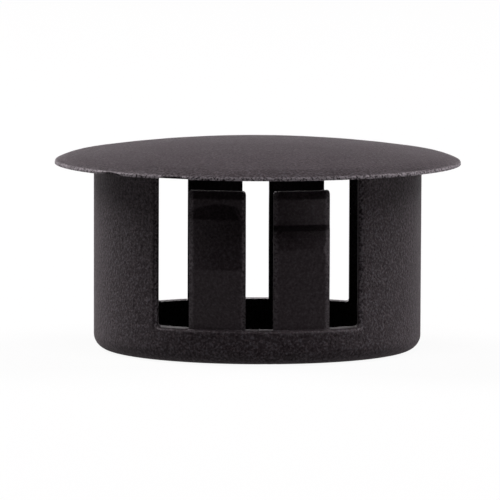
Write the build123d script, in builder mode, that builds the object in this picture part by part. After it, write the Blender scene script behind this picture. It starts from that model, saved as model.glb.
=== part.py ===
"""Snap-in domed hole plug, one nylon moulding, in millimetres.

The plug stands on the foot of its skirt with the domed head up.  The origin is on the axis at
the foot, +Z points up to the head, and -Y is the side of the front window.
"""
from build123d import *

import os
from math import asin, cos, degrees, radians, sin, sqrt, tan

# ---------------------------------------------------------------- driving dimensions
# The round hole in the panel that the plug closes: a 7/8 inch knockout.
hole_diameter = 22.2

# Domed head
head_overlap = 2.4  # head beyond the edge of the hole, all round
head_rise = 1.6  # crown above the panel's face
shoulder_radius = 4.6  # arc that turns the flat crown down to the rim
rim_slope = 26.0  # slope of the shoulder where it meets the rim, degrees
rim_round = 0.18  # rounded upper edge of the rim
rim_land = 0.09  # straight edge left below the round
ceiling_rise = 0.2  # recess in the head's underside inside the skirt
ceiling_bevel = 0.5  # sloping edge of that recess

# Skirt, with a window through its front and one through its back
skirt_clearance = 0.2  # skirt to the edge of the hole, all round
skirt_wall = 1.2
skirt_length = 12.35  # foot to the head's underside
skirt_draft = 0.1  # skirt narrows from the head down to the ring, degrees
ring_height = 2.28  # full ring left below the windows
foot_land = 0.2  # flat width of the foot inside the lead-in round
window_draft = 1.0  # each side of a window opens outward, degrees
window_corner = 0.2  # corners of a window's floor
window_edge = 0.25  # rounded outer edge of a window
window_web = 0.2  # skirt left between a window and the head

# Snap fingers: two in each window, rooted on the ring and free below the head
finger_width = 3.7
finger_spacing = 1.8  # between the two fingers of a window
front_left_gap = 2.0  # finger to the side of the front window, on the -X side
front_right_gap = 1.9  # the same on the +X side
back_left_gap = 2.05  # finger to the side of the back window, on the -X side
back_right_gap = 1.7
finger_tip_gap = 0.98  # finger tip to the head's underside
finger_root_inset = 0.35  # root of a finger inside the skirt's outer face
tip_bevel_height = 0.5
tip_bevel_depth = 0.25
tip_corner = 0.2  # rounded corners of the tip
ridge_reach = 0.35  # widest point of a finger beyond the edge of the hole

# Locking steps of the low finger, which holds thin panels, as depths below the head
low_ledge_depth = 1.8
low_ledge_height = 1.0
low_ridge_depth = 6.05
low_tip_relief = 0.4  # tip inside the edge of the hole
low_lip_relief = 0.05  # foot of the locking face inside the edge of the hole
low_facet_width = 0.45
low_facet_height = 0.75

# Locking steps of the high finger, which holds thick panels
high_ledge_depth = 3.18
high_ledge_height = 0.3
high_ridge_depth = 4.7
high_tip_relief = 0.4
high_lip_relief = -0.05  # foot of the locking face beyond the edge of the hole
high_facet_width = 0.42

# Two shallow nicks in the rim's lower edge
nick_angles = (-136.5, -114.7)  # about the axis, degrees
nick_width = 2.4
nick_height = 0.2
nick_depth = 0.5  # inward from the rim

# ---------------------------------------------------------------- worked-out dimensions
hole_radius = hole_diameter / 2
head_radius = hole_radius + head_overlap
skirt_radius = hole_radius - skirt_clearance
straight_top = ring_height - 2 * window_edge  # the ring is straight up to here, clear of that edge
ring_radius = skirt_radius - (skirt_length - straight_top) * tan(radians(skirt_draft))
bore_radius = ring_radius - skirt_wall
lead_round = skirt_wall - foot_land
finger_core = bore_radius / 2  # a finger is made from this radius out, and then cored
clear_reach = 2 * head_radius  # from the axis to well outside the plug
face_margin = skirt_wall / 10  # nearer than this to the skirt's outer face is on it

finger_middle = finger_spacing / 2 + finger_width / 2
finger_side = finger_spacing / 2 + finger_width
finger_top = skirt_length - finger_tip_gap
root_radius = ring_radius - finger_root_inset
ridge_radius = hole_radius + ridge_reach


def front_y(x, radius):
    """Y of the front of a round of this radius at x."""
    return -sqrt(radius**2 - x**2)


# ---------------------------------------------------------------- snap fingers
def snap_finger(middle, ledge_top, ledge_foot, ridge_z, lip_radius, tip_radius, round_tip, facet):
    """One front finger, centred on x = middle.  The plug's core cuts its back."""
    azimuth = asin(middle / lip_radius)
    outward = Vector(sin(azimuth), -cos(azimuth), 0)
    along_finger = Plane(origin=(0, 0, 0), x_dir=outward, z_dir=outward.cross(Vector(0, 0, 1)))
    sunk_root = ring_height - window_corner

    with BuildPart() as finger:
        # Lead-in, ridge, ramp and locking face are round about the plug's axis.
        with BuildSketch(Plane.XZ):
            with BuildLine():
                Polyline(
                    (finger_core, sunk_root),
                    (root_radius, sunk_root),
                    (root_radius, ring_height),
                    (ridge_radius, ridge_z),
                    (lip_radius, ledge_foot),
                    (tip_radius, ledge_top),
                    (finger_core, ledge_top),
                    close=True,
                )
            make_face()
        revolve(axis=Axis.Z)
        split(bisect_by=facet, keep=Keep.BOTTOM)

        # The tip has a bevel at its top.  A round one follows the plug's axis, and a flat one
        # is square to the finger.
        with BuildSketch(Plane.XZ if round_tip else along_finger):
            with BuildLine():
                Polyline(
                    (finger_core, ledge_foot),
                    (tip_radius, ledge_foot),
                    (tip_radius, finger_top - tip_bevel_height),
                    (tip_radius - tip_bevel_depth, finger_top),
                    (finger_core, finger_top),
                    close=True,
                )
            make_face()
        if round_tip:
            revolve(axis=Axis.Z)
        else:
            extrude(amount=finger_width, both=True)

        # Its sides stand square to the window.
        with BuildSketch(Plane.XZ) as outline:
            with Locations((middle, 0)):
                Rectangle(finger_width, finger_top, align=(Align.CENTER, Align.MIN))
            fillet(outline.vertices().group_by(Axis.Y)[-1], radius=tip_corner)
        extrude(amount=head_radius, mode=Mode.INTERSECT)
    return finger.part


def corner_facet(side_x, radius, z, width, lean):
    """Plane that cuts the front corner of a finger's right side, width wide at height z."""
    wide_x = side_x - width
    wide = Vector(wide_x, front_y(wide_x, radius), z)
    across = Vector(width, width, 0)
    down = Vector(width * lean, 0, -1)
    return Plane(origin=wide, z_dir=down.cross(across))


low_middle = -finger_middle
low_ledge_top = skirt_length - low_ledge_depth
low_ledge_foot = low_ledge_top - low_ledge_height
low_lip_radius = hole_radius - low_lip_relief
low_facet = corner_facet(
    side_x=low_middle + finger_width / 2,
    radius=low_lip_radius,
    z=low_ledge_foot,
    width=low_facet_width,
    lean=1 / low_facet_height,
)
low_finger = snap_finger(
    middle=low_middle,
    ledge_top=low_ledge_top,
    ledge_foot=low_ledge_foot,
    ridge_z=skirt_length - low_ridge_depth,
    lip_radius=low_lip_radius,
    tip_radius=hole_radius - low_tip_relief,
    round_tip=False,
    facet=low_facet,
)

high_ledge_top = skirt_length - high_ledge_depth
high_ridge_z = skirt_length - high_ridge_depth
high_facet = corner_facet(
    side_x=finger_middle + finger_width / 2,
    radius=ridge_radius,
    z=high_ridge_z,
    width=high_facet_width,
    lean=0,
)
high_finger = snap_finger(
    middle=finger_middle,
    ledge_top=high_ledge_top,
    ledge_foot=high_ledge_top - high_ledge_height,
    ridge_z=high_ridge_z,
    lip_radius=hole_radius - high_lip_relief,
    tip_radius=hole_radius - high_tip_relief,
    round_tip=True,
    facet=high_facet,
)

# ---------------------------------------------------------------- windows
def window(left_side, right_side):
    """A front window with its sides this far from the axis at the skirt's outer face.

    Its sides open outward, and its floor is the top of the ring.
    """
    draft_slope = tan(radians(window_draft))
    inner_left, inner_right = (x + front_y(x, skirt_radius) * draft_slope for x in (left_side, right_side))
    flare = clear_reach * draft_slope
    with BuildPart() as cut:
        with BuildSketch(Plane.XY.offset(ring_height)):
            Polygon(
                (-inner_left, 0),
                (-inner_left - flare, -clear_reach),
                (inner_right + flare, -clear_reach),
                (inner_right, 0),
                align=None,
            )
        extrude(amount=skirt_length - window_web - ring_height)
        floor_edges = cut.edges().group_by(Axis.Z)[0].filter_by(Axis.X, reverse=True)
        fillet(floor_edges, radius=window_corner)
    return cut.part


# ---------------------------------------------------------------- the plug
# The crown is an arc about the axis, tangent to the shoulder where the shoulder starts.
slope = radians(rim_slope)
rim_start_x = head_radius - rim_round + rim_round * sin(slope)
rim_start_z = skirt_length + rim_land + rim_round * cos(slope)
shoulder_x = rim_start_x - shoulder_radius * sin(slope)
shoulder_z = rim_start_z - shoulder_radius * cos(slope)
crown_z = skirt_length + head_rise
fall = crown_z - shoulder_z
crown_radius = (fall**2 + shoulder_x**2 - shoulder_radius**2) / (2 * (fall - shoulder_radius))
crown_angle = degrees(asin(shoulder_x / (crown_radius - shoulder_radius)))


def on_skirt(edge):
    """Whether an edge lies on the skirt's outer face, draft included."""
    middle = edge @ 0.5
    return abs(sqrt(middle.X**2 + middle.Y**2) - skirt_radius) < face_margin


with BuildPart() as hole_plug:
    with BuildSketch(Plane.XZ):
        with BuildLine():
            crown = JernArc((0, crown_z), (1, 0), crown_radius, -crown_angle)
            shoulder = JernArc(crown @ 1, crown % 1, shoulder_radius, crown_angle - rim_slope)
            nose = JernArc(shoulder @ 1, shoulder % 1, rim_round, rim_slope - 90)
            Line(nose @ 1, (head_radius, skirt_length))
            Line((head_radius, skirt_length), (skirt_radius, skirt_length))
            Line((skirt_radius, skirt_length), (ring_radius, straight_top))
            Line((ring_radius, straight_top), (ring_radius, lead_round))
            lead = JernArc((ring_radius, lead_round), (0, -1), lead_round, -90)
            Line(lead @ 1, (0, 0))
            Line((0, 0), crown @ 0)
        make_face()
    revolve(axis=Axis.Z)

    # Turned to the back, a window's left side comes to the right.
    front_window = window(finger_side + front_left_gap, finger_side + front_right_gap)
    back_window = window(finger_side + back_right_gap, finger_side + back_left_gap).rotate(Axis.Z, 180)
    for opening in (front_window, back_window):
        add(opening, mode=Mode.SUBTRACT)
        # Rounded from the floor's outer edge, the edge of a window is round all the way up.
        outer_edges = hole_plug.edges(Select.LAST).filter_by(on_skirt)
        fillet(outer_edges.group_by(Axis.Z)[0], radius=window_edge)

    # Each pair of fingers stands in its window; the back pair is the front pair turned round.
    with PolarLocations(0, 2):
        add(low_finger)
        add(high_finger)

    # One core hollows the skirt and the head and leaves the backs of the fingers round.
    with BuildSketch(Plane.XZ):
        with BuildLine():
            Polyline(
                (0, 0),
                (bore_radius, 0),
                (bore_radius, skirt_length),
                (bore_radius - ceiling_bevel, skirt_length + ceiling_rise),
                (0, skirt_length + ceiling_rise),
                close=True,
            )
        make_face()
    revolve(axis=Axis.Z, mode=Mode.SUBTRACT)

    # A nick is the round top of a cylinder that lies along its own radius.
    nick_radius = (nick_width**2 / 4 + nick_height**2) / (2 * nick_height)
    for angle in nick_angles:
        inward = Vector(-cos(radians(angle)), -sin(radians(angle)), 0)
        nick_start = inward * -clear_reach + Vector(0, 0, skirt_length + nick_height - nick_radius)
        with BuildSketch(Plane(origin=nick_start, z_dir=inward)):
            Circle(nick_radius)
        extrude(amount=clear_reach - head_radius + nick_depth, mode=Mode.SUBTRACT)

hole_plug.part.label = "hole_plug"

os.makedirs("parts", exist_ok=True)
export_step(hole_plug.part, "parts/hole_plug.step")
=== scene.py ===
"""Dresses the snap-in hole plug, one moulded piece of black nylon, and sets up its studio."""
import logging
import math
from dataclasses import dataclass, field
from enum import Enum
from typing import Any, Union

import bpy
from mathutils import Matrix, Vector

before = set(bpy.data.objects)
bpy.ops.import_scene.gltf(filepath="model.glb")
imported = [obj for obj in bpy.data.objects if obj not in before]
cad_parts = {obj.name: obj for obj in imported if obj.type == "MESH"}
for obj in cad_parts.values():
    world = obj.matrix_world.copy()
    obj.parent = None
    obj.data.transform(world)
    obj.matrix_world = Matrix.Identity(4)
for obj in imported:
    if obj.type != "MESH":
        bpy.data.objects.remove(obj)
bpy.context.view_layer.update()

LOG = logging.getLogger("hole_plug")
MM = 0.001

Colour = tuple[float, float, float]
Place = tuple[float, float, float]
Socket = bpy.types.NodeSocket
Source = Union[Socket, float, tuple[float, ...]]

ORIGIN: Place = (0.0, 0.0, 0.0)
UPWARD: Place = (0.0, 0.0, 1.0)
LEVEL: Place = (1.0, 1.0, 0.0)
WHITE: Colour = (1.0, 1.0, 1.0)
LAMP_TINT: Colour = (1.0, 0.95, 0.972)
GREEN = 1
MIX_BELOW, MIX_ABOVE, MIX_RESULT = 6, 7, 2


class Sum(Enum):
    """The sums of numbers that a mask is worked out with."""

    ADD = "ADD"
    SUBTRACT = "SUBTRACT"
    MULTIPLY = "MULTIPLY"
    MAXIMUM = "MAXIMUM"
    ABSOLUTE = "ABSOLUTE"
    SIGN = "SIGN"


class VectorSum(Enum):
    """The sums of places and directions."""

    ADD = "ADD"
    MULTIPLY = "MULTIPLY"
    NORMALIZE = "NORMALIZE"
    LENGTH = "LENGTH"
    DOT_PRODUCT = "DOT_PRODUCT"

    @property
    def output(self) -> str:
        """Names the output that holds the result, a number or a vector."""
        return "Value" if self in (VectorSum.LENGTH, VectorSum.DOT_PRODUCT) else "Vector"


@dataclass(frozen=True)
class Ramp:
    """A smooth ramp: the values where it starts and ends, and what it gives there.

    Where it reads a place, it is in metres. A ramp that ends below its start runs downwards.
    """

    start: float
    end: float
    gives_first: float = 0.0
    gives_last: float = 1.0


@dataclass(frozen=True)
class Noise:
    """A noise in the finish: the size of its grains, their detail, and their height if raised."""

    grain_mm: float
    detail: float
    rough: float
    height_mm: float = 0.0


def solid_colour(colour: Colour) -> tuple[float, float, float, float]:
    """Gives a colour its fourth, opaque channel."""
    return (*colour, 1.0)


@dataclass
class NodeBench:
    """A node tree on the bench, with short calls that add and wire its nodes."""

    tree: bpy.types.NodeTree

    def add(self, kind: str, **settings: Any) -> bpy.types.Node:
        """Adds one node.

        Args:
            kind: The node's type name without its leading "ShaderNode".
            settings: Properties to set on the node.

        Returns:
            The new node.
        """
        node = self.tree.nodes.new("ShaderNode" + kind)
        for name, value in settings.items():
            setattr(node, name, value)
        return node

    def feed(self, socket: Socket, source: Source) -> None:
        """Gives an input either another node's output or a plain value.

        Args:
            socket: The input to feed.
            source: An output, a number, or several numbers.
        """
        if isinstance(source, bpy.types.NodeSocket):
            self.tree.links.new(source, socket)
        else:
            socket.default_value = source

    def feed_all(self, node: bpy.types.Node, sources: dict[str, Source]) -> None:
        """Feeds several inputs of one node, each by its name."""
        for name, source in sources.items():
            self.feed(node.inputs[name], source)

    def sum(self, kind: Sum, first: Source, second: Source = 0.0) -> Socket:
        """Adds a sum of one or two numbers.

        Args:
            kind: Which sum it is.
            first: The first number.
            second: The second number, for a sum that has two.

        Returns:
            The result.
        """
        node = self.add("Math", operation=kind.value)
        self.feed(node.inputs[0], first)
        self.feed(node.inputs[1], second)
        return node.outputs[0]

    def product(self, first: Source, *factors: Source) -> Source:
        """Multiplies numbers.

        Args:
            first: The first number.
            factors: The numbers to multiply it by, in order.

        Returns:
            The product.
        """
        result = first
        for factor in factors:
            result = self.sum(Sum.MULTIPLY, result, factor)
        return result

    def vector_sum(self, kind: VectorSum, first: Source, second: Source = ORIGIN) -> Socket:
        """Adds a sum of one or two vectors.

        Args:
            kind: Which sum it is.
            first: The first vector.
            second: The second vector, for a sum that has two.

        Returns:
            The result, a number or a vector as the kind has it.
        """
        node = self.add("VectorMath", operation=kind.value)
        self.feed(node.inputs[0], first)
        self.feed(node.inputs[1], second)
        return node.outputs[kind.output]

    def split(self, vector: Source) -> tuple[Socket, Socket, Socket]:
        """Splits a vector.

        Args:
            vector: The vector to split.

        Returns:
            Its X, Y and Z.
        """
        node = self.add("SeparateXYZ")
        self.feed(node.inputs[0], vector)
        return node.outputs["X"], node.outputs["Y"], node.outputs["Z"]

    def ease(self, value: Source, ramp: Ramp) -> Socket:
        """Takes a value through a smooth ramp.

        Args:
            value: The value.
            ramp: The ramp.

        Returns:
            What the ramp gives there.
        """
        node = self.add("MapRange", interpolation_type="SMOOTHSTEP")
        sources = {
            "Value": value,
            "From Min": ramp.start,
            "From Max": ramp.end,
            "To Min": ramp.gives_first,
            "To Max": ramp.gives_last,
        }
        self.feed_all(node, sources)
        return node.outputs["Result"]

    def noise(self, where: Source, noise: Noise) -> Socket:
        """Lays a noise on some coordinates.

        Args:
            where: The coordinates.
            noise: The noise's grain and detail.

        Returns:
            Its value, from 0 to 1.
        """
        node = self.add("TexNoise", noise_dimensions="3D")
        sources = {
            "Vector": where,
            "Scale": 1.0 / (noise.grain_mm * MM),
            "Detail": noise.detail,
            "Roughness": noise.rough,
        }
        self.feed_all(node, sources)
        return node.outputs[0]

    def mix(self, share: Source, below: Source, above: Source) -> Socket:
        """Lays one colour over another.

        Args:
            share: How much of the upper colour shows, from 0 to 1.
            below: The lower colour.
            above: The upper colour.

        Returns:
            The mixed colour.
        """
        node = self.add("Mix", data_type="RGBA")
        self.feed(node.inputs["Factor"], share)
        self.feed(node.inputs[MIX_BELOW], below)
        self.feed(node.inputs[MIX_ABOVE], above)
        return node.outputs[MIX_RESULT]

    def bump(self, normal: Source, height: Source, height_mm: float, strength: Source) -> Socket:
        """Raises a height on a surface.

        Args:
            normal: The surface's normal so far.
            height: The height, from 0 to 1.
            height_mm: What a height of 1 stands for.
            strength: How strongly it shows.

        Returns:
            The new normal.
        """
        node = self.add("Bump")
        sources = {
            "Normal": normal,
            "Height": height,
            "Strength": strength,
            "Distance": height_mm * MM,
        }
        self.feed_all(node, sources)
        return node.outputs[0]

    def glow(self, kind: str, colour: Colour, strength: Source) -> Socket:
        """Adds a light.

        Args:
            kind: The node's kind, "Emission" or "Background".
            colour: The light's colour.
            strength: The light's strength.

        Returns:
            The light's shader.
        """
        node = self.add(kind)
        self.feed_all(node, {"Color": solid_colour(colour), "Strength": strength})
        return node.outputs[0]

    def by_camera(self, unseen: Socket, seen: Socket) -> Socket:
        """Shows one shader to the camera alone.

        Args:
            unseen: The shader that all other rays meet.
            seen: The shader that the camera sees.

        Returns:
            The joined shader.
        """
        node = self.add("MixShader")
        self.feed(node.inputs[0], self.add("LightPath").outputs["Is Camera Ray"])
        self.feed(node.inputs[1], unseen)
        self.feed(node.inputs[2], seen)
        return node.outputs[0]


@dataclass(frozen=True)
class PlugSizes:
    """Sizes of the plug that its finish follows, in millimetres from its axis or from its foot."""

    finger_inner: float = 0.9
    finger_outer: float = 4.6
    window_side: float = 6.5
    window_foot: float = 2.28
    skirt_reach: float = 10.7
    head_foot: float = 12.35
    head_radius: float = 13.5


@dataclass(frozen=True)
class BandSizes:
    """Sizes of the marked bands and of their fades, in millimetres."""

    finger_side_fade: float = 0.1
    finger_foot_lap: float = 0.02
    finger_foot_fade: float = 0.03
    finger_top_gap: float = 0.35
    roll_width: float = 0.40
    roll_lap: float = 0.05
    rim_width: float = 0.30
    rim_fade_share: float = 0.6
    window_start: float = 0.04
    window_end: float = 0.26
    window_fade: float = 0.14
    window_top_gap: float = 0.4
    window_end_fade: float = 0.3
    skirt_fade: float = 0.15


@dataclass
class Masks:
    """Marks the parts of the plug by where a point lies, in its Object coordinates."""

    bench: NodeBench
    sizes: PlugSizes = field(default_factory=PlugSizes)
    bands: BandSizes = field(default_factory=BandSizes)
    place: Socket = field(init=False)
    x: Socket = field(init=False)
    z: Socket = field(init=False)
    across: Socket = field(init=False)
    reach: Socket = field(init=False)

    def __post_init__(self) -> None:
        """Adds the nodes that the masks share."""
        self.place = self.bench.add("TexCoord").outputs["Object"]
        self.x, _, self.z = self.bench.split(self.place)
        self.across = self.bench.sum(Sum.ABSOLUTE, self.x)
        flat = self.bench.vector_sum(VectorSum.MULTIPLY, self.place, LEVEL)
        self.reach = self.bench.vector_sum(VectorSum.LENGTH, flat)

    def past(self, value: Source, start_mm: float, end_mm: float) -> Socket:
        """Eases from 0 where a value passes one size to 1 where it passes the other."""
        return self.bench.ease(value, Ramp(start_mm * MM, end_mm * MM))

    def band(self, value: Source, low_mm: float, high_mm: float, fade_mm: float) -> Source:
        """Marks where a value lies between two sizes.

        Args:
            value: The value to test, in metres.
            low_mm: Lower edge of the band.
            high_mm: Upper edge of the band.
            fade_mm: Width over which each edge fades.

        Returns:
            1 inside the band, easing to 0 outside it.
        """
        above_low = self.past(value, low_mm - fade_mm, low_mm)
        below_high = self.past(value, high_mm + fade_mm, high_mm)
        return self.bench.product(above_low, below_high)

    def fingers(self) -> Source:
        """Marks all that lies inside the windows' width, from their floors to just below the head.

        Returns:
            1 on the fingers and the sides of the hollow behind them, easing to 0 round them.
        """
        sizes, bands = self.sizes, self.bands
        edge = sizes.window_side
        inside = self.past(self.across, edge, edge - bands.finger_side_fade)
        foot = sizes.window_foot - bands.finger_foot_lap
        top = sizes.head_foot - bands.finger_top_gap
        upright = self.band(self.z, foot, top, bands.finger_foot_fade)
        return self.bench.product(inside, upright)

    def finger_roll(self, fingers: Source) -> Source:
        """Tells how far the fingers' long edges are rolled over.

        Args:
            fingers: 1 on the snap fingers.

        Returns:
            1 at a finger's outer edge, -1 at its inner edge, and 0 between them.
        """
        sizes, bands = self.sizes, self.bands
        outer = self.past(self.across, sizes.finger_outer - bands.roll_width, sizes.finger_outer)
        inner = self.past(self.across, sizes.finger_inner + bands.roll_width, sizes.finger_inner)
        lap = sizes.finger_outer + bands.roll_lap
        on_finger = self.past(self.across, lap + bands.roll_lap, lap)
        return self.bench.product(self.bench.sum(Sum.SUBTRACT, outer, inner), on_finger, fingers)

    def rim(self) -> Source:
        """Marks the lower edge of the head's rim.

        Returns:
            1 on the rim's lower edge, easing to 0 a little above it and inward.
        """
        sizes, width = self.sizes, self.bands.rim_width
        inner = sizes.head_radius - 2 * width
        top = sizes.head_foot + width
        outward = self.past(self.reach, inner, inner + width)
        low = self.past(self.z, top, top - self.bands.rim_fade_share * width)
        return self.bench.product(outward, low)

    def window_edges(self) -> Source:
        """Marks the rounded upright edges of the two windows.

        Returns:
            1 along the windows' sides on the skirt's outer face, easing to 0 round them.
        """
        sizes, bands = self.sizes, self.bands
        start = sizes.window_side + bands.window_start
        end = sizes.window_side + bands.window_end
        side = self.band(self.across, start, end, bands.window_fade)
        top = sizes.head_foot - bands.window_top_gap
        upright = self.band(self.z, sizes.window_foot, top, bands.window_end_fade)
        outward = self.past(self.reach, sizes.skirt_reach - bands.skirt_fade, sizes.skirt_reach)
        return self.bench.product(side, upright, outward)


@dataclass(frozen=True)
class Surface:
    """What the finish is worked out from at each point.

    It holds the masks and the noises, how far the fingers' edges are rolled over, and how strongly
    the grain shows.
    """

    bench: NodeBench
    masks: Masks
    flecks: Socket
    grain: Socket
    patches: Socket
    fingers: Source
    roll: Source
    grained: Source


@dataclass(frozen=True)
class NylonFinish:
    """Black nylon from an eroded mould: speckled, smoother on the fingers, pale at the edges.

    The pale edges, partly rub and partly a painted highlight, are the rim's lower one, the
    windows' upright ones and the fingers' long ones.
    """

    name: str = "black_nylon"
    body: Colour = (0.0062, 0.0026, 0.0042)
    patch_shade: float = 0.72
    warm_fleck: Colour = (0.060, 0.046, 0.050)
    cool_fleck: Colour = (0.046, 0.046, 0.056)
    # Pale edge colour: partly rub, partly a painted highlight.
    edge_rub_and_highlight: Colour = (0.30, 0.28, 0.30)
    gleam: Colour = (1.0, 0.90, 0.95)
    bloom_share: float = 0.10
    refraction: float = 1.53
    shine: float = 0.5
    shine_swing: float = 1.1
    finger_polish: float = 0.16
    finger_grain: float = 0.5
    # Strengths of the pale edges on windows and fingers, partly rub and partly a painted
    # highlight.
    window_rub_and_highlight: float = 0.4
    finger_rub_and_highlight: float = 0.36
    roll_slope: float = 2.6
    edge_round_mm: float = 0.16
    edge_fade_mm: float = 0.1
    edge_samples: int = 6
    flecks: Noise = Noise(grain_mm=0.15, detail=2.0, rough=0.6, height_mm=0.022)
    grain: Noise = Noise(grain_mm=0.2, detail=3.0, rough=0.55, height_mm=0.042)
    patches: Noise = Noise(grain_mm=3.4, detail=3.0, rough=0.5)
    patch_share: Ramp = Ramp(0.3, 0.7)
    fleck_share: Ramp = Ramp(0.44, 0.74)
    cool_share: Ramp = Ramp(0.42, 0.58)
    edge_rub_and_highlight_share: Ramp = Ramp(0.34, 0.62)
    grain_roughness: Ramp = Ramp(0.3, 0.7, 0.51, 0.63)
    patch_roughness: Ramp = Ramp(0.25, 0.75, -0.03, 0.04)

    def material(self) -> bpy.types.Material:
        """Builds the material.

        Returns:
            The finished material, which reads Object coordinates only.
        """
        material = bpy.data.materials.new(self.name)
        material.use_nodes = True
        surface = self.survey(NodeBench(material.node_tree))
        sources = {
            "Base Color": self.colour(surface),
            "Roughness": self.roughness(surface),
            "Normal": self.relief(surface),
            "Specular IOR Level": self.specular(surface),
            "IOR": self.refraction,
            "Specular Tint": solid_colour(self.gleam),
            "Sheen Weight": self.bloom_share,
            "Sheen Tint": solid_colour(self.gleam),
        }
        surface.bench.feed_all(material.node_tree.nodes["Principled BSDF"], sources)
        return material

    def survey(self, bench: NodeBench) -> Surface:
        """Lays out the masks and the noises.

        Args:
            bench: The material's bench.

        Returns:
            The surface that the finish is worked out from.
        """
        masks = Masks(bench)
        fingers = masks.fingers()
        return Surface(
            bench=bench,
            masks=masks,
            flecks=bench.noise(masks.place, self.flecks),
            grain=bench.noise(masks.place, self.grain),
            patches=bench.noise(masks.place, self.patches),
            fingers=fingers,
            roll=masks.finger_roll(fingers),
            grained=bench.sum(Sum.SUBTRACT, 1.0, bench.product(fingers, 1.0 - self.finger_grain)),
        )

    def rub_and_highlight_mask(self, surface: Surface) -> Socket:
        """Works out how pale the edges are, partly by rub and partly by a painted highlight.

        Args:
            surface: What the finish is worked out from.

        Returns:
            1 on the rim's lower edge, and less on the edges of the windows and the fingers.
        """
        bench, masks = surface.bench, surface.masks
        finger_edges = bench.product(bench.sum(Sum.ABSOLUTE, surface.roll), self.finger_rub_and_highlight)
        window_edges = bench.product(masks.window_edges(), self.window_rub_and_highlight)
        edges = bench.sum(Sum.MAXIMUM, window_edges, finger_edges)
        return bench.sum(Sum.MAXIMUM, masks.rim(), edges)

    def colour(self, surface: Surface) -> Socket:
        """Mixes the body colour with faint patches, light flecks and pale edges, which are partly
        rub and partly a painted highlight.

        Args:
            surface: What the finish is worked out from.

        Returns:
            The base colour.
        """
        bench = surface.bench
        shaded = tuple(self.patch_shade * channel for channel in self.body)
        patched = bench.ease(surface.patches, self.patch_share)
        body = bench.mix(patched, solid_colour(shaded), solid_colour(self.body))
        cool = bench.ease(surface.grain, self.cool_share)
        fleck = bench.mix(cool, solid_colour(self.warm_fleck), solid_colour(self.cool_fleck))
        flecked = bench.ease(surface.flecks, self.fleck_share)
        speckled = bench.mix(bench.product(flecked, surface.grained, surface.grained), body, fleck)
        # Painted highlight, partly rub, on the rim's lower edge and the edges of the windows and
        # fingers.
        painted_highlight_and_rub = bench.product(bench.ease(surface.flecks, self.edge_rub_and_highlight_share), self.rub_and_highlight_mask(surface))
        return bench.mix(painted_highlight_and_rub, speckled, solid_colour(self.edge_rub_and_highlight))

    def specular(self, surface: Surface) -> Socket:
        """Varies the strength of the reflection, which the pits of the grain weaken.

        Args:
            surface: What the finish is worked out from.

        Returns:
            The specular level.
        """
        bench = surface.bench
        both = bench.sum(Sum.ADD, surface.flecks, surface.grain)
        pits = bench.sum(Sum.SUBTRACT, both, 1.0)
        swing = bench.product(pits, surface.grained, self.shine_swing)
        return bench.sum(Sum.ADD, swing, self.shine)

    def roughness(self, surface: Surface) -> Socket:
        """Varies the roughness with the grain and the patches, and lowers it on the fingers.

        Args:
            surface: What the finish is worked out from.

        Returns:
            The roughness.
        """
        bench = surface.bench
        by_grain = bench.ease(surface.grain, self.grain_roughness)
        by_patch = bench.ease(surface.patches, self.patch_roughness)
        dull = bench.sum(Sum.ADD, by_grain, by_patch)
        return bench.sum(Sum.SUBTRACT, dull, bench.product(surface.fingers, self.finger_polish))

    def relief(self, surface: Surface) -> Socket:
        """Softens the sharp edges below the head, and raises the grain and the flecks.

        Args:
            surface: What the finish is worked out from.

        Returns:
            The normal.
        """
        bench, masks = surface.bench, surface.masks
        head_foot = masks.sizes.head_foot * MM
        below_head = head_foot - self.edge_fade_mm * MM
        radius = bench.ease(masks.z, Ramp(head_foot, below_head, 0.0, self.edge_round_mm * MM))
        rounded = bench.add("Bevel", samples=self.edge_samples)
        bench.feed(rounded.inputs["Radius"], radius)
        rolled = self.roll_edges(surface, rounded.outputs[0])
        coarse = bench.bump(rolled, surface.grain, self.grain.height_mm, surface.grained)
        return bench.bump(coarse, surface.flecks, self.flecks.height_mm, surface.grained)

    def roll_edges(self, surface: Surface, normal: Source) -> Socket:
        """Turns the normal sideways along the fingers' long edges.

        Args:
            surface: What the finish is worked out from.
            normal: The normal so far.

        Returns:
            The turned normal.
        """
        bench, roll = surface.bench, surface.roll
        side = bench.sum(Sum.SIGN, surface.masks.x)
        slope = bench.product(bench.sum(Sum.ABSOLUTE, roll), self.roll_slope)
        push = bench.add("CombineXYZ")
        bench.feed(push.inputs["X"], bench.product(roll, slope, side))
        turned = bench.vector_sum(VectorSum.ADD, normal, push.outputs[0])
        return bench.vector_sum(VectorSum.NORMALIZE, turned)


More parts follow.
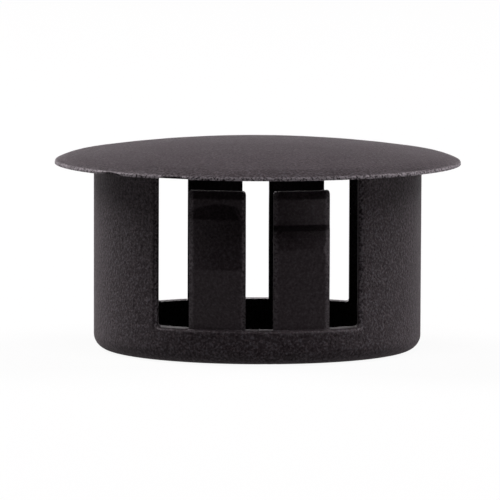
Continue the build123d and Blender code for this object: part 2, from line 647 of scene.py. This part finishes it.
@dataclass(frozen=True)
class PaleFloorFinish:
    """A pale floor that glows like a light table, white to the camera.

    That glow is painted light on the plug: bright behind and beside it, dim in front of it, and
    cut to a painted shadow below it.
    """

    name: str = "pale_floor"
    bounce: Colour = (0.06, 0.06, 0.06)
    seen_glow: float = 0.93
    front_to_back: Ramp = Ramp(-0.046, -0.024, 0.02, 0.21)
    # Where the painted shadow under the plug ends.
    painted_shadow_under_plug: Ramp = Ramp(0.0092, 0.0104)

    def material(self) -> bpy.types.Material:
        """Builds the material.

        Returns:
            The floor's material, a dull surface that also glows.
        """
        material = bpy.data.materials.new(self.name)
        material.use_nodes = True
        nodes = material.node_tree.nodes
        nodes.remove(nodes["Principled BSDF"])
        bench = NodeBench(material.node_tree)
        dull = bench.add("BsdfDiffuse")
        bench.feed(dull.inputs["Color"], solid_colour(self.bounce))
        where = bench.add("TexCoord").outputs["Object"]
        _, depth, _ = bench.split(where)
        # Painted light from the floor: dim in front, and cut to a painted shadow under the plug.
        glow_by_depth = bench.ease(depth, self.front_to_back)
        outside_painted_shadow = bench.ease(bench.vector_sum(VectorSum.LENGTH, where), self.painted_shadow_under_plug)
        painted_glow = bench.glow("Emission", LAMP_TINT, bench.product(glow_by_depth, outside_painted_shadow))
        white = bench.glow("Emission", WHITE, self.seen_glow)
        both = bench.add("AddShader")
        bench.feed(both.inputs[0], dull.outputs[0])
        bench.feed(both.inputs[1], bench.by_camera(painted_glow, white))
        bench.feed(nodes["Material Output"].inputs["Surface"], both.outputs[0])
        return material


@dataclass
class HolePlug:
    """The plug itself: a domed head over a skirt with two windows and four snap fingers."""

    node: str = "hole_plug"
    finish: NylonFinish = field(default_factory=NylonFinish)

    def dress(self) -> bpy.types.Object:
        """Puts the finish on the moulded piece.

        Returns:
            The dressed object.
        """
        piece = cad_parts[self.node]
        material = self.finish.material()
        for slot in piece.material_slots:
            slot.material = material
        return piece


@dataclass
class Floor:
    """The plain floor that the plug stands on."""

    reach: float = 3.0
    drop: float = 0.02 * MM
    finish: PaleFloorFinish = field(default_factory=PaleFloorFinish)

    def lay(self) -> bpy.types.Object:
        """Lays the floor just under the plug's foot.

        Returns:
            The floor object.
        """
        signs = ((-1, -1), (1, -1), (1, 1), (-1, 1))
        corners = [(x * self.reach, y * self.reach, -self.drop) for x, y in signs]
        mesh = bpy.data.meshes.new("floor")
        mesh.from_pydata(corners, [], [(0, 1, 2, 3)])
        mesh.materials.append(self.finish.material())
        floor = bpy.data.objects.new("floor", mesh)
        bpy.context.scene.collection.objects.link(floor)
        return floor


@dataclass(frozen=True)
class Softbox:
    """A soft lamp that faces the plug. Its watts hold for green, which its tint lowers."""

    name: str
    place: Place
    width: float
    height: float
    watts: float
    aim: Place = (0.0, 0.0, 0.007)

    def hang(self) -> bpy.types.Object:
        """Hangs the lamp.

        Returns:
            The lamp object.
        """
        lamp = bpy.data.lights.new(self.name, "AREA")
        lamp.shape = "RECTANGLE"
        lamp.size = self.width
        lamp.size_y = self.height
        lamp.energy = self.watts / LAMP_TINT[GREEN]
        lamp.color = LAMP_TINT
        facing = (Vector(self.aim) - Vector(self.place)).to_track_quat("-Z", "Y")
        holder = bpy.data.objects.new(self.name, lamp)
        holder.location = self.place
        holder.rotation_euler = facing.to_euler()
        bpy.context.scene.collection.objects.link(holder)
        return holder


@dataclass(frozen=True)
class Glow:
    """A lit stretch of the horizon, full in its core and eased to nothing at its spread.

    Angles are in degrees. The bearing is from straight behind the plug, growing towards +X.
    """

    bearing: float
    spread: float
    strength: float
    fade_share: float = 0.7

    def light(self, bench: NodeBench, way: Socket) -> Socket:
        """Works out the glow's light.

        Args:
            bench: The world's bench.
            way: Direction in which a ray leaves.

        Returns:
            The strength in that direction.
        """
        turn = math.radians(self.bearing)
        centre = (math.sin(turn), math.cos(turn), 0.0)
        nearness = bench.vector_sum(VectorSum.DOT_PRODUCT, way, centre)
        edge = math.cos(math.radians(self.spread))
        core = edge + self.fade_share * (1.0 - edge)
        return bench.ease(nearness, Ramp(edge, core, 0.0, self.strength))


@dataclass(frozen=True)
class LightTent:
    """The soft surroundings: a low band of light, dim in front and bright behind.

    To the camera they are white.
    """

    glows: tuple[Glow, ...] = (
        Glow(bearing=180.0, spread=60.0, strength=0.10),
        Glow(bearing=-105.0, spread=46.0, strength=0.75),
        Glow(bearing=105.0, spread=47.0, strength=1.78),
        Glow(bearing=0.0, spread=50.0, strength=2.75),
    )
    low_band: Ramp = Ramp(0.27, 0.0)
    seen_glow: float = 1.0

    def raise_round(self) -> bpy.types.World:
        """Builds the world.

        Returns:
            The world, set on the scene.
        """
        world = bpy.data.worlds.new("light_tent")
        world.use_nodes = True
        bench = NodeBench(world.node_tree)
        way = bench.add("TexCoord").outputs["Generated"]
        light = 0.0
        for glow in self.glows:
            light = bench.sum(Sum.ADD, light, glow.light(bench, way))
        _, _, height = bench.split(way)
        low = bench.ease(height, self.low_band)
        tent = bench.glow("Background", LAMP_TINT, bench.product(light, low))
        white = bench.glow("Background", WHITE, self.seen_glow)
        output = world.node_tree.nodes["World Output"]
        bench.feed(output.inputs["Surface"], bench.by_camera(tent, white))
        bpy.context.scene.world = world
        return world


@dataclass(frozen=True)
class Camera:
    """The camera, a long lens a little above the plug's head.

    Angles are in degrees. The turn is towards +X, the tilt down, and the roll about the gaze.
    """

    distance: float = 0.560
    turn: float = 0.75
    tilt: float = 5.03
    roll: float = -0.21
    lens: float = 606.4
    clip_start: float = 0.05
    pivot: Place = (0.0, 0.0, 0.01235)
    aim_left: float = 0.000496
    aim_down: float = 0.005781

    def axes(self, gaze: Vector) -> Matrix:
        """Works out the camera's own axes for a gaze.

        Args:
            gaze: Direction in which the camera looks.

        Returns:
            The rotation that turns the camera that way, with its roll.
        """
        side = gaze.cross(Vector(UPWARD)).normalized()
        level = Matrix((side, side.cross(gaze), -gaze)).transposed()
        return Matrix.Rotation(math.radians(self.roll), 3, gaze) @ level

    def set_up(self) -> bpy.types.Object:
        """Sets up the camera and makes it the scene's own.

        Returns:
            The camera object.
        """
        turn, tilt = math.radians(self.turn), math.radians(self.tilt)
        level = math.cos(tilt)
        forward = Vector((math.sin(turn) * level, math.cos(turn) * level, -math.sin(tilt)))
        right = Vector((math.cos(turn), -math.sin(turn), 0.0))
        up = right.cross(forward)
        pivot = Vector(self.pivot)
        stand = pivot - self.distance * forward
        target = pivot - self.aim_left * right - self.aim_down * up
        data = bpy.data.cameras.new("camera")
        data.lens = self.lens
        data.clip_start = self.clip_start
        camera = bpy.data.objects.new("camera", data)
        axes = self.axes((target - stand).normalized())
        camera.matrix_world = Matrix.Translation(stand) @ axes.to_4x4()
        bpy.context.scene.collection.objects.link(camera)
        bpy.context.scene.camera = camera
        return camera


@dataclass
class Studio:
    """The floor, the surroundings, the lamps and the camera."""

    floor: Floor = field(default_factory=Floor)
    tent: LightTent = field(default_factory=LightTent)
    camera: Camera = field(default_factory=Camera)
    lamps: tuple[Softbox, ...] = (
        Softbox("lamp_left", (-0.41, 0.24, 0.37), width=0.30, height=0.28, watts=2.9),
        Softbox("lamp_right", (0.44, 0.18, 0.37), width=0.38, height=0.28, watts=2.4),
        Softbox("lamp_above", (0.0, -0.24, 0.55), width=0.30, height=0.20, watts=1.25),
    )

    def set_up(self) -> None:
        """Sets up everything round the plug."""
        self.floor.lay()
        self.tent.raise_round()
        for lamp in self.lamps:
            lamp.hang()
            LOG.info("lamp %s hung", lamp.name)
        self.camera.set_up()
        bpy.context.scene.view_settings.view_transform = "Standard"


def main() -> None:
    """Dresses the plug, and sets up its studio."""
    logging.basicConfig(level=logging.INFO, format="%(name)s: %(message)s")
    piece = HolePlug().dress()
    LOG.info("piece %s dressed", piece.name)
    Studio().set_up()
    LOG.info("studio set up")


if __name__ == "__main__":
    main()
